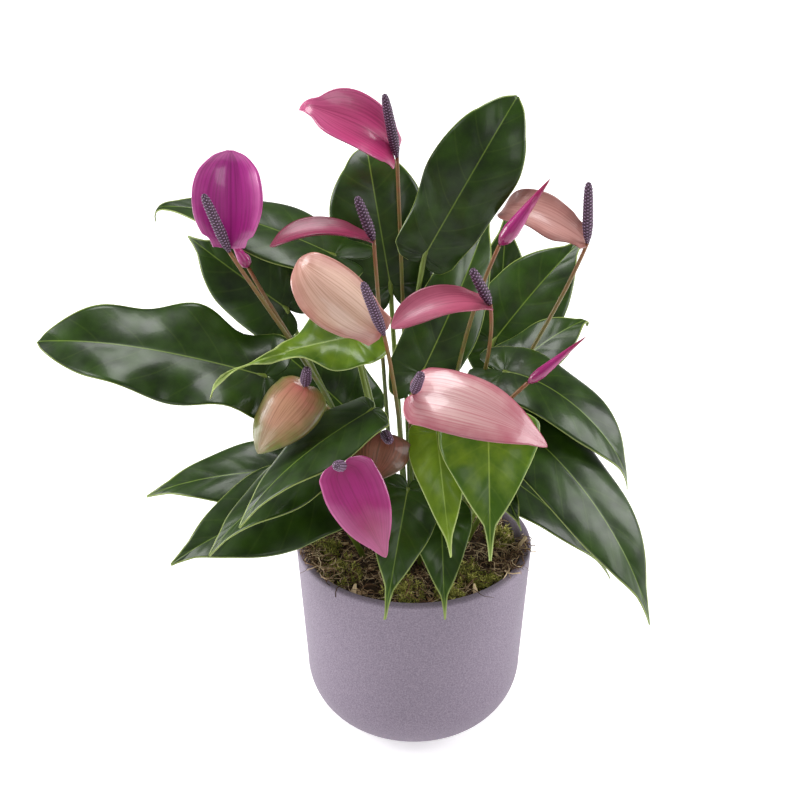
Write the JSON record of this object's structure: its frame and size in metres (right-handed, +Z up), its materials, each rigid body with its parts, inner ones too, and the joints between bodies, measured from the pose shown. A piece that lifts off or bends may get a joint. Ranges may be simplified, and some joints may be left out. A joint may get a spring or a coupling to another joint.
{
  "type": "potted anthurium",
  "caption": "Anthurium house plant with heart-shaped leaves, waxy pink and magenta spathes and upright spadices, in a round ceramic cover pot dressed with moss.",
  "frame": {"origin": "middle of the pot's foot, on the surface that it stands on", "axes": "+Z up, +X to the right as seen from the front, -Y towards the front, where the bright young leaves hang"},
  "size_m": [0.3491, 0.2483, 0.39],
  "materials": {
    "leaf": "waxy dark green leaf, glossy on its upper side",
    "young_leaf": "waxy bright yellow-green young leaf",
    "stalk": "satin stalk, orange below the flower and olive green lower down",
    "spadix": "matt purple spadix with pale dots",
    "spathe_magenta": "waxy magenta spathe",
    "spathe_mauve": "waxy dusty mauve spathe",
    "spathe_peach": "waxy pale peach spathe with fine veins",
    "spathe_pink": "waxy pink spathe",
    "pot": "matt lavender-grey stoneware, finely speckled",
    "soil": "dark potting compost",
    "moss": "green moss, brown fibres and small bark chips"
  },
  "bodies": {
    "root": {"leaf_left_broad": "leaf", "leaf_left_upper": "leaf", "leaf_left_rear": "leaf", "leaf_rear_upright": "leaf", "leaf_top": "leaf", "leaf_centre_tall": "leaf", "leaf_right_rear": "leaf", "leaf_right_upright": "leaf", "leaf_right_curled": "leaf", "leaf_right_arching": "leaf", "leaf_right_drooping": "leaf", "leaf_right_low": "leaf", "leaf_front_bright_left": "young_leaf", "leaf_front_bright_right": "young_leaf", "leaf_front_hanging_left": "leaf", "leaf_front_hanging_right": "leaf", "leaf_left_front": "leaf", "leaf_left_under": "leaf", "leaf_left_low": "leaf", "leaf_left_far_low": "leaf", "leaf_inner_dark": "leaf", "leaf_young_long_tip": "young_leaf", "leaf_right_inner": "leaf", "leaf_front_small": "leaf", "spathe_top": "spathe_magenta", "stalk_top": "stalk", "spadix_top": "spadix", "spathe_left": "spathe_magenta", "stalk_left": "stalk", "spadix_left": "spadix", "spathe_left_arching": "spathe_mauve", "stalk_left_arching": "stalk", "spadix_left_arching": "spadix", "spathe_peach": "spathe_peach", "stalk_peach": "stalk", "spadix_peach": "spadix", "spathe_centre_arching": "spathe_mauve", "stalk_centre_arching": "stalk", "spadix_centre_arching": "spadix", "spathe_right_rear": "spathe_peach", "stalk_right_rear": "stalk", "spadix_right_rear": "spadix", "spathe_left_low": "spathe_peach", "stalk_left_low": "stalk", "spadix_left_low": "spadix", "spathe_front_pink": "spathe_pink", "stalk_front_pink": "stalk", "spadix_front_pink": "spadix", "spathe_inner_brown": "spathe_peach", "stalk_inner_brown": "stalk", "spadix_inner_brown": "spadix", "spathe_front_magenta": "spathe_magenta", "stalk_front_magenta": "stalk", "spadix_front_magenta": "spadix", "bud_left": "spathe_magenta", "bud_right": "spathe_magenta", "bud_far_right": "spathe_magenta", "pot": "pot", "soil": "soil", "moss": "moss"}
  },
  "joints": []
}
